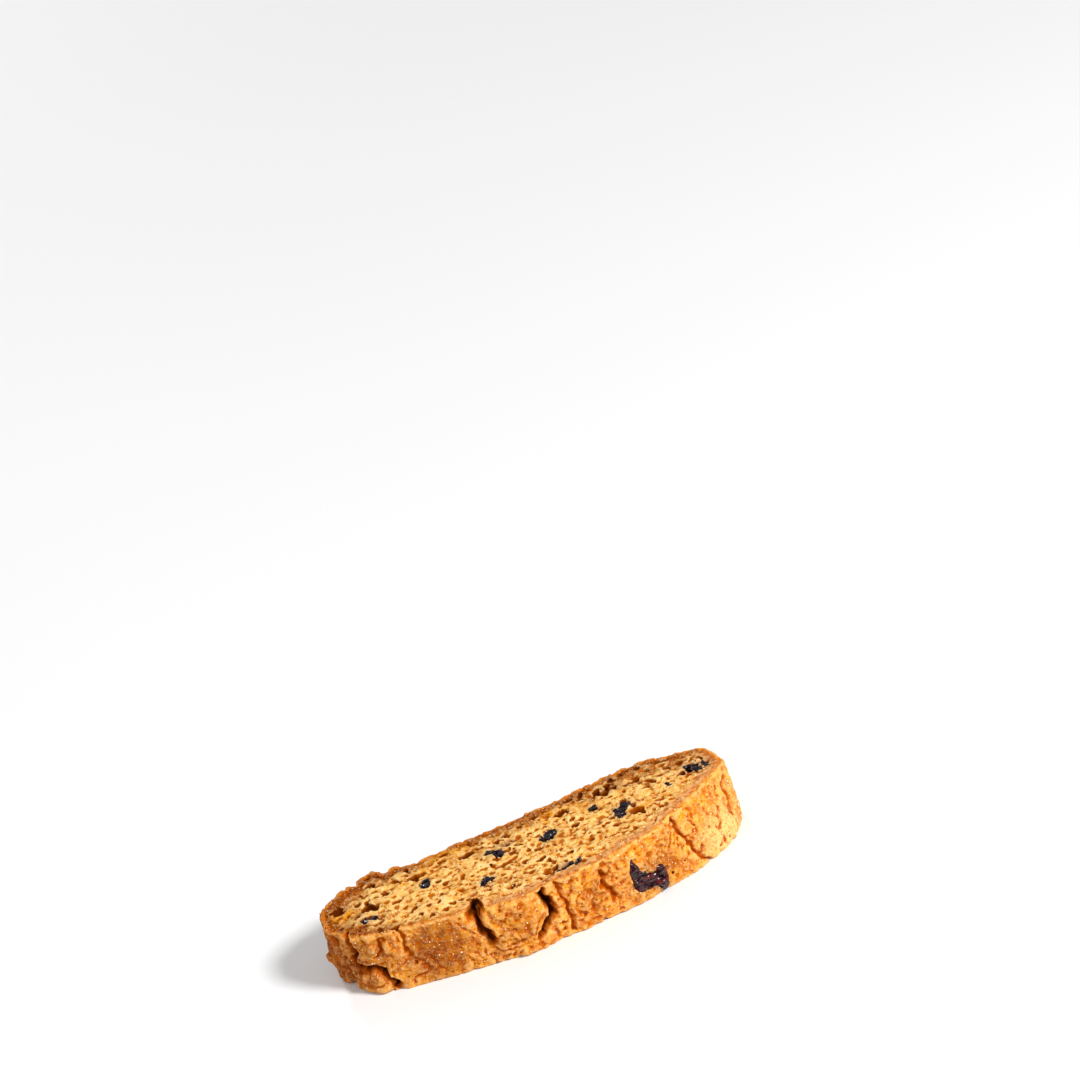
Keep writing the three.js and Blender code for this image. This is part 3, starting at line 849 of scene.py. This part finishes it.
def biscuit_material(look):
    """The finish of the biscuit: its crumb and its crust, each as colours laid over one another."""
    paint = Paint("baked_biscuit")
    place = paint.place()
    x, y = paint.split(place)
    crust, rim, depth, crack, edge = map(paint.attribute, ("crust", "rim", "depth", "crack", "edge"))
    toast, pale, band, amber, stain = map(paint.attribute, ("toast", "pale", "band", "amber", "stain"))
    broad, middling, fine = (paint.noise(place, size, 3) for size in (7.0, 2.2, 0.8))
    speck = paint.noise(place, 0.35, 2)
    streaks = paint.noise(paint.stretched(place, (0.25, 1.0, 1.0)), 0.5, 2)
    strands = paint.noise(paint.stretched(place, (0.6, 1.0, 1.0)), 0.45, 2)
    wavy = paint.warped(place, 0.7, 0.35)
    # Pinholes of the crust, painted in shade and sunk by the bump
    pinholes = 1 - paint.cells(wavy, 1.3).ramp(0.07, 0.24)
    folds = paint.noise(paint.stretched(place, (1.0, 1.0, 0.4)), 0.6, 2)
    grit = paint.noise(place, 0.55, 3, 0.6)
    # Small pits in the crumb, painted in shade below and sunk by the bump
    pits = 1 - paint.cells(paint.stretched(wavy, (0.7, 1.0, 1.0)), 0.95).ramp(0.1, 0.34)

    near_rim = 1 - rim.ramp(0.6, 3.4)
    rim_toast = y.ramp(0.0, 5.0) * 0.4 + (x * -1).ramp(14.0, 26.0) * 0.55 + 0.12
    toasted = (toasted_places(x, y) + near_rim * rim_toast + (middling.ramp(0.4, 0.62) - 0.5) * 0.35).held()
    # Painted shade for the crumb's holes, browner where the crumb is toasted
    walls = paint.mix(toasted, look.pore, look.pore_deep_shade)
    ring = rim.ramp(0.1, 0.3) * (1 - rim.ramp(0.6, 1.1))
    crumb = paint.covered(
        paint.mix(middling.ramp(0.38, 0.6), look.crumb_pale, look.crumb_gold),
        (broad.ramp(0.42, 0.62) * 0.4, look.crumb_amber),
        (fine.ramp(0.48, 0.68) * 0.35, look.crumb_amber),
        (strands.ramp(0.46, 0.62) * 0.3, look.crumb_light),
        # Painted highlight on the grains that the bump raises
        (grit.ramp(0.5, 0.64) * 0.35, look.crumb_light),
        ((1 - speck).ramp(0.56, 0.7) * 0.4, look.crumb_fleck_and_crease_shade),
        (band * 0.75, look.crumb_tan),
        (band * streaks.ramp(0.52, 0.66) * 0.55, look.crumb_toasted),
        (toasted, look.crumb_toasted),
        ((amber * 1.2).held() * 0.75, look.crumb_honey),
        # Small holes painted in shade
        (pits * (1 - band * 0.5) * (middling.ramp(0.4, 0.58) * 0.7 + 0.25), walls),
        # Painted highlight where the crumb stands proud, then painted shade where it is hollow
        (edge.ramp(0.1, 0.8) * (0.65 - toasted * 0.5), look.crumb_light),
        ((edge * -1).ramp(0.0, 0.5) * 0.95, look.crumb_fleck_and_crease_shade),
        (band * 0.4, look.crumb_tan),
        # Painted shade that deepens with depth below the surface, in holes and under the crust
        (depth.ramp(0.12, 0.42) * 0.9, walls),
        (depth.ramp(0.4, 0.9) * 0.9, look.pore_deep_shade),
        (stain.held() * 0.7, look.stain),
        (ring * (1 - depth.ramp(0.3, 0.9)) * 0.85, look.crust_orange),
    )

    blotch = middling.ramp(0.4, 0.6)
    # The colour of the crust's painted highlights, duller where it is toasted
    painted_highlight = paint.mix(toast.held(), look.crust_light, look.crust_salmon)
    baked = paint.covered(
        paint.mix(blotch, look.crust_gold, look.crust_orange),
        (fine.ramp(0.48, 0.66) * 0.55, look.crust_salmon),
        # Painted highlight streaks along upright folds
        (folds.ramp(0.54, 0.68) * 0.3, painted_highlight),
        ((toast + (blotch - 0.5) * 0.5 * toast).held(), look.crust_tan),
        ((pale * 1.1).held() * 0.8, look.crust_pale),
        (stain.held() * 0.55, look.stain),
        # Pinholes painted in shade, fainter on the pale end
        (pinholes * (1 - pale * 0.6) * 0.75, look.pinhole_shade),
        # Painted highlight on the grains that the bump raises, and painted shade between them
        (grit.ramp(0.5, 0.64) * 0.45, painted_highlight),
        ((1 - grit).ramp(0.52, 0.66) * 0.6, look.crust_shadow),
        ((1 - speck).ramp(0.56, 0.7) * 0.4, look.crust_shadow),
        # Painted highlight where the crust stands proud, and painted shade in its hollows
        (edge.ramp(0.1, 1.0) * 0.5, painted_highlight),
        ((edge * -1).ramp(0.0, 0.7) * 0.9, look.crust_shadow),
        # Painted shade in the crust's cracks, near black in the deepest, and in hollows below the surface
        (crack.ramp(0.15, 0.8) * 0.8, look.crust_shadow),
        (crack.ramp(0.9, 1.9) * 0.92, look.fissure_shade),
        (crack.ramp(2.0, 2.7) * 0.9, look.cavity_shade),
        (depth.ramp(0.2, 0.7) * 0.75, look.fissure_shade),
    )

    tint = paint.mix(crust, crumb, baked)
    open_air = (1 - depth.ramp(0.1, 0.5)) * (1 - crack.ramp(0.3, 0.9))
    bare = open_air * (1 - pits * 0.7 * (1 - crust))
    # Light specks as painted highlights, only on open surface away from holes, cracks and painted pits
    tint = paint.mix(speck.ramp(0.56, 0.7) * (0.5 - toast * 0.3 - band * 0.2) * bare, tint, look.speck)
    grain = (grit * 1.5 + paint.noise(place, 0.25, 2, 0.6) * 0.5 - pits * 0.6 * (1 - crust)
             - pinholes * 0.5 * crust)
    moist = speck.ramp(0.54, 0.64) * (crust * (0.55 - toast * 0.25) + 0.15) * open_air
    return paint.finish({"Base Color": tint, "Roughness": 0.6 - crust * 0.1 + fine * 0.12,
                         "Normal": paint.bump(grain, 0.00026, 1.0), "Specular IOR Level": 0.0,
                         "Coat Weight": moist, "Coat Roughness": 0.16})


def strewn_material(name, first, second, roughness, toasted=None):
    """The finish of the crumb's grains and of the sugar's crystals."""
    paint = Paint(name)
    place = paint.place()
    tint = paint.mix(paint.noise(place, 0.9, 2).ramp(0.4, 0.62), first, second)
    if toasted:
        x, y = paint.split(place)
        tint = paint.mix(toasted_places(x, y).held(), tint, toasted)
    return paint.finish({"Base Color": tint, "Roughness": roughness, "Specular IOR Level": 0.4,
                         "Normal": paint.bump(paint.noise(place, 0.15, 2), 0.00005, 0.6)})


class BiscottoLook(bpy.types.PropertyGroup):
    """The colours of the slice."""

    def tint(name, description, *display):
        return bpy.props.FloatVectorProperty(name=name, description=description, subtype="COLOR", size=4,
                                             min=0, max=1, default=colour(*display))

    crumb_light: tint("Crumb highlight", "What stands proud of the cut face", 254, 214, 146)
    crumb_pale: tint("Pale crumb", "The lightest part of the cut face", 250, 197, 102)
    crumb_gold: tint("Golden crumb", "The cut face", 234, 166, 60)
    crumb_amber: tint("Amber crumb", "Darker mottling of the cut face", 210, 124, 6)
    crumb_honey: tint("Honey crumb", "Moist patches of the cut face", 232, 152, 16)
    crumb_tan: tint("Tan crumb", "The pressed band along the domed rim", 212, 142, 84)
    crumb_toasted: tint("Toasted crumb", "The cut face near its edges", 138, 60, 0)
    # Painted shade in the creases between the crumb's lumps; the same colour also makes dark flecks at random
    crumb_fleck_and_crease_shade: tint("Crumb crease", "Between the lumps of the crumb", 186, 92, 0)
    # Painted shade on the walls and the bottoms of the crumb's holes
    pore: tint("Hole", "The walls of the crumb's holes", 150, 64, 0)
    pore_deep_shade: tint("Deep hole", "The bottoms of the crumb's holes", 84, 30, 0)
    stain: tint("Fruit stain", "Crumb that fruit juice has coloured", 112, 54, 46)
    crust_light: tint("Crust highlight", "What stands proud of the crust", 255, 200, 116)
    # Painted highlight specks over the open surface
    speck: tint("Specks", "Light specks all over", 255, 226, 172)
    crust_pale: tint("Pale crust", "The smooth pale end of the crust", 255, 212, 134)
    crust_gold: tint("Golden crust", "The lightest crust", 244, 158, 36)
    crust_orange: tint("Orange crust", "The crust's main colour", 218, 118, 16)
    crust_salmon: tint("Salmon crust", "Dull patches of the crust", 214, 132, 68)
    crust_tan: tint("Toasted crust", "The most toasted crust", 132, 66, 20)
    crust_shadow: tint("Crust shadow", "The crust's creases", 180, 78, 0)
    # Painted shade in the crust's pinholes
    pinhole_shade: tint("Pinhole", "The crust's pinholes", 118, 50, 4)
    # Painted shade inside the crust's cracks and hollows, darkest at the bottoms of the deepest
    fissure_shade: tint("Fissure", "The insides of the crust's cracks", 80, 28, 0)
    cavity_shade: tint("Cavity", "The bottoms of the deepest cracks", 30, 10, 2)
    fruit_skin: tint("Dark fruit", "The dried fruit in the cut face", 14, 6, 12)
    fruit_sheen: tint("Dark fruit mottling", "The lighter parts of the dried fruit", 52, 26, 42)
    raisin_skin: tint("Raisin", "The raisin in the crust", 26, 2, 8)
    raisin_sheen: tint("Raisin mottling", "The lighter parts of the raisin", 92, 20, 24)
    sugar: tint("Sugar", "The sugar crystals", 255, 234, 196)


class BiscottoSizes(bpy.types.PropertyGroup):
    """The sizes of what is strewn over the slice."""

    def size(name, description, default):
        return bpy.props.FloatProperty(name=name, description=description, subtype="DISTANCE", unit="LENGTH",
                                       min=0.00002, max=0.002, precision=5, default=default)

    def count(name, description, default):
        return bpy.props.IntProperty(name=name, description=description, min=0, max=2000, default=default)

    grain_least: size("Least grain", "The least radius of a grain of crumb", 0.0001)
    grain_most: size("Largest grain", "The largest radius of a grain of crumb", 0.0002)
    crystal_least: size("Least crystal", "The least radius of a sugar crystal", 0.00008)
    crystal_most: size("Largest crystal", "The largest radius of a sugar crystal", 0.00019)
    grains: count("Grains", "Grains of crumb in a square centimetre of cut face", 150)
    crystals: count("Crystals", "Sugar crystals in a square centimetre of crust", 26)


class BISCOTTO_OT_biscuit(bpy.types.Operator):
    """Build the biscuit, with its crags, cracks and crumb"""

    bl_idname = "biscotto.biscuit"
    bl_label = "Biscuit"

    def execute(self, context):
        points, quads = biscuit_mesh(BISCUIT_STEP)
        mesh = plain_mesh("biscuit_crumb_and_crust", points, quads)
        piece = add_piece("biscuit_crumb_and_crust", mesh)
        thin = piece.modifiers.new("Thin", "DECIMATE")
        thin.ratio = min(1.0, BISCUIT_FACES / len(mesh.polygons))
        whole = applied(piece)
        shade_biscuit_points(whole)
        whole.materials.append(biscuit_material(context.scene.biscotto_look))
        whole.shade_smooth()
        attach(piece, "root")
        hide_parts("biscuit")
        return {"FINISHED"}


def lobed_skin(lobes, step, wrinkle, cap):
    """Oval lobes run together into one closed skin with wrinkles, cut off where cap is above 0."""
    ends = np.array([[np.array(lobe["at"]) + sign * max(lobe["half"]) for sign in (-1, 1)] for lobe in lobes])
    block = Block(ends[:, 0].min(axis=0) - 0.6, ends[:, 1].max(axis=0) + 0.6, step)
    points = block.points(np.nonzero(np.ones(block.shape, dtype=bool)))
    field = np.full(len(points), 2.0)
    for lobe in lobes:
        x, y, z = (points - lobe["at"]).T
        field = -smooth_max(-field, -ellipsoid(x, y, z, lobe["half"], lobe["turn"]), 0.5)
    ridge = np.abs(lattice_noise(points * wrinkle["scale"], wrinkle["size"], wrinkle["seed"]))
    folds = wrinkle["height"] * (0.5 - 2 * ridge)
    return block.skin(smooth_max(field + wrinkle["sides"] * folds, cap(points) + folds, wrinkle["shoulder"]))


def under_face(points):
    """How far points are above the height at which the fruit in the cut face ends."""
    return points[:, 2] - FRUIT_TOP


def under_crust(points):
    """How far points are outside the surface at which the raisin ends, a little proud of the crust."""
    distance, way = face_outline.measure(points[:, 0], points[:, 1])
    return surface_fields(points, distance, way)[0] - RAISIN_PROUD


def fruit_material(name, dark, sheen):
    paint = Paint(name)
    place = paint.place()
    mottle, dust = paint.noise(place, 0.9, 3), paint.noise(place, 0.3, 2)
    tint = paint.mix(mottle.ramp(0.45, 0.7), dark, sheen)
    folds = paint.noise(paint.stretched(place, (0.6, 1.0, 1.4)), 0.6, 2, 0.5)
    return paint.finish({"Base Color": tint, "Roughness": dust * 0.2 + 0.3, "Specular IOR Level": 0.05,
                         "Normal": paint.bump(folds, 0.00012, 1.0),
                         "Coat Weight": folds.ramp(0.42, 0.56), "Coat Roughness": 0.1})


class BISCOTTO_OT_fruit(bpy.types.Operator):
    """Build the dried fruit in the cut face and in the crust"""

    bl_idname = "biscotto.fruit"
    bl_label = "Dried fruit"

    def execute(self, context):
        look = context.scene.biscotto_look
        skin = fruit_material("dark_fruit", look.fruit_skin, look.fruit_sheen)
        pieces = {**FACE_FRUIT, "scraps": SCRAPS}
        for seed, (name, ovals) in enumerate(pieces.items(), FRUIT_SEED):
            wrinkle = dict(FRUIT_WRINKLE, seed=seed)
            points, quads = lobed_skin(face_lobes(ovals), FRUIT_STEP, wrinkle, under_face)
            node = "fruit_streak" if name == "scraps" else name
            self.place(name, node, points, quads, skin, "dark_fruit")
        points, quads = lobed_skin(raisin_lobes(), RAISIN_STEP, RAISIN_WRINKLE, under_crust)
        skin = fruit_material("raisin_skin", look.raisin_skin, look.raisin_sheen)
        self.place("raisin", "raisin", points, quads, skin, "raisin")
        return {"FINISHED"}

    def place(self, name, node, points, quads, skin, slot):
        piece = add_piece(name + "_skin", plain_mesh(name + "_skin", points, quads))
        piece.data.materials.append(skin)
        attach(piece, "root")
        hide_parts(node)


# What is strewn over the surface

def strewing_tree():
    """Geometry nodes that strew small angular pieces over a surface, as densely as a named attribute says."""
    tree = bpy.data.node_groups.new("Strewing", "GeometryNodeTree")
    sockets = dict(Surface="Geometry", Weight="String", Density="Float", Least="Float", Largest="Float",
                   Seed="Int", Finish="Material")
    for name, kind in sockets.items():
        tree.interface.new_socket(name, in_out="INPUT", socket_type="NodeSocket" + kind)
    tree.interface.new_socket("Pieces", in_out="OUTPUT", socket_type="NodeSocketGeometry")

    def node(kind, settings=None, **links):
        made = tree.nodes.new(kind)
        for key, value in (settings or {}).items():
            setattr(made, key, value)
        for key, value in links.items():
            socket = made.inputs[int(key[1:])] if key[1:].isdigit() else made.inputs[key.replace("_", " ")]
            if isinstance(value, bpy.types.NodeSocket):
                tree.links.new(value, socket)
            else:
                socket.default_value = value
        return made

    def drawn(least, largest):
        return node("FunctionNodeRandomValue", dict(data_type="FLOAT_VECTOR"), Min=least, Max=largest,
                    Seed=given["Seed"]).outputs[0]

    given = node("NodeGroupInput").outputs
    named = node("GeometryNodeInputNamedAttribute", dict(data_type="FLOAT"), Name=given["Weight"])
    weight = named.outputs["Attribute"]
    density = node("ShaderNodeMath", dict(operation="MULTIPLY"), _0=weight, _1=given["Density"]).outputs[0]
    spread = node("GeometryNodeDistributePointsOnFaces", dict(distribute_method="RANDOM"),
                  Mesh=given["Surface"], Density=density, Seed=given["Seed"]).outputs["Points"]
    ball = node("GeometryNodeMeshIcoSphere", Radius=1.0, Subdivisions=1).outputs["Mesh"]
    turn = drawn((0, 0, 0), ANY_TURN)
    least, largest = (node("ShaderNodeCombineXYZ", _0=given[key], _1=given[key], _2=given[key]).outputs[0]
                      for key in ("Least", "Largest"))
    size = drawn(least, largest)
    copies = node("GeometryNodeInstanceOnPoints", Points=spread, Instance=ball, Rotation=turn, Scale=size)
    real = node("GeometryNodeRealizeInstances", Geometry=copies.outputs[0])
    dressed = node("GeometryNodeSetMaterial", Geometry=real.outputs[0], Material=given["Finish"])
    node("NodeGroupOutput", Pieces=dressed.outputs[0])
    return tree


def strew(name, tree, smooth, **values):
    """Strews pieces over the biscuit and leaves them as one plain mesh."""
    piece = add_piece(name, bpy.data.objects["biscuit_crumb_and_crust"].data.copy())
    nodes = piece.modifiers.new("Strewing", "NODES")
    nodes.node_group = tree
    identifiers = {item.name: item.identifier for item in tree.interface.items_tree if item.in_out == "INPUT"}
    for key, value in values.items():
        nodes[identifiers[key]] = value
    made = applied(piece)
    made.name = name
    if smooth:
        made.shade_smooth()
    else:
        made.shade_flat()
    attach(piece, "root")
    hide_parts("biscuit")


class BISCOTTO_OT_strewing(bpy.types.Operator):
    """Strew grains over the crumb and sugar over the crust"""

    bl_idname = "biscotto.strewing"
    bl_label = "Grains and sugar"

    def execute(self, context):
        look, sizes = context.scene.biscotto_look, context.scene.biscotto_sizes
        tree = strewing_tree()
        crumb = strewn_material("crumb_grains", look.crumb_light, look.crumb_gold, 0.6, look.crumb_toasted)
        strew("crumb_grains", tree, True, Weight="grainy", Density=sizes.grains * PER_SQUARE_CM,
              Least=sizes.grain_least, Largest=sizes.grain_most, Seed=GRAIN_SEED, Finish=crumb)
        sugar = strewn_material("sugar", look.sugar, look.crumb_light, 0.3)
        strew("sugar_crystals", tree, False, Weight="sugary", Density=sizes.crystals * PER_SQUARE_CM,
              Least=sizes.crystal_least, Largest=sizes.crystal_most, Seed=SUGAR_SEED, Finish=sugar)
        return {"FINISHED"}


def photo_camera():
    """Where the photograph's camera is in the slice's own frame: its place in metres and its three axes."""
    p, f, t = PHOTO_PITCH, SLICE_YAW, SLICE_TILT
    right, ahead = Vector((1, 0, 0)), Vector((0, math.cos(p), -math.sin(p)))
    up = right.cross(ahead)
    along = Vector((math.cos(t) * math.cos(f), math.cos(t) * math.sin(f), math.sin(t)))
    across = Vector((-math.sin(f), math.cos(f), 0))
    to_slice = Matrix((along, across, along.cross(across)))
    distance = PHOTO_FOCAL / PIXELS_PER_MM
    half = PHOTO_SIDE / 2
    slice_middle = (right * (SLICE_PIXEL[0] - half) / PHOTO_FOCAL
                    - up * (SLICE_PIXEL[1] - half) / PHOTO_FOCAL + ahead) * distance
    place = to_slice @ -slice_middle
    place += Vector((-CENTRE[0], -CENTRE[1], THICKNESS / 2))
    return place * MM, to_slice @ right, to_slice @ up, to_slice @ -ahead


class BISCOTTO_OT_stage(bpy.types.Operator):
    """Set up the camera, the floor and the light"""

    bl_idname = "biscotto.stage"
    bl_label = "Stage"

    def execute(self, context):
        scene = context.scene
        scene.view_settings.view_transform = "Standard"
        place, right, up, back = photo_camera()
        data = bpy.data.cameras.new("camera")
        data.sensor_width = SENSOR_MM
        data.lens = SENSOR_MM * PHOTO_FOCAL / PHOTO_SIDE
        data.clip_start, data.clip_end = CAMERA_REACH
        camera = add_piece("camera", data)
        camera.matrix_world = Matrix.Translation(place) @ Matrix((right, up, back)).transposed().to_4x4()
        scene.camera = camera

        mesh = bpy.data.meshes.new("floor")
        corners = [(FLOOR_HALF * x, FLOOR_HALF * y, 0) for x, y in ((-1, -1), (1, -1), (1, 1), (-1, 1))]
        mesh.from_pydata(corners, [], [(0, 1, 2, 3)])
        floor = add_piece("floor", mesh)
        paint = Paint("pale_floor")
        mesh.materials.append(paint.finish({"Base Color": colour(*FLOOR_COLOUR), "Roughness": 0.6}))

        world = bpy.data.worlds.new("studio")
        world.use_nodes = True
        background = world.node_tree.nodes["Background"].inputs
        background["Color"].default_value = (1, 1, 1, 1)
        background["Strength"].default_value = WORLD_STRENGTH
        scene.world = world
        for lamp in LAMPS:
            self.light(**lamp)
        return {"FINISHED"}

    def light(self, name, place, size, power):
        data = bpy.data.lights.new(name, "AREA")
        data.shape = "DISK"
        data.size = size
        data.energy = power
        lamp = add_piece(name, data)
        lamp.location = place
        lamp.rotation_mode = "QUATERNION"
        lamp.rotation_quaternion = (-Vector(place)).to_track_quat("-Z", "Y")


class BISCOTTO_PT_panel(bpy.types.Panel):
    """Lists what builds the slice"""

    bl_idname = "BISCOTTO_PT_panel"
    bl_label = "Biscotto Slice"
    bl_space_type = "VIEW_3D"
    bl_region_type = "UI"
    bl_category = "Biscotto"

    def draw(self, context):
        for operator in OPERATORS:
            self.layout.operator(operator.bl_idname)


OPERATORS = (BISCOTTO_OT_stage, BISCOTTO_OT_biscuit, BISCOTTO_OT_fruit, BISCOTTO_OT_strewing)
CLASSES = (BiscottoLook, BiscottoSizes, *OPERATORS, BISCOTTO_PT_panel)


def register():
    for cls in CLASSES:
        bpy.utils.register_class(cls)
    bpy.types.Scene.biscotto_look = bpy.props.PointerProperty(type=BiscottoLook)
    bpy.types.Scene.biscotto_sizes = bpy.props.PointerProperty(type=BiscottoSizes)


def unregister():
    del bpy.types.Scene.biscotto_sizes
    del bpy.types.Scene.biscotto_look
    for cls in reversed(CLASSES):
        bpy.utils.unregister_class(cls)


def main():
    register()
    for operator in OPERATORS:
        group, name = operator.bl_idname.split(".")
        getattr(getattr(bpy.ops, group), name)()


if __name__ == "__main__":
    main()
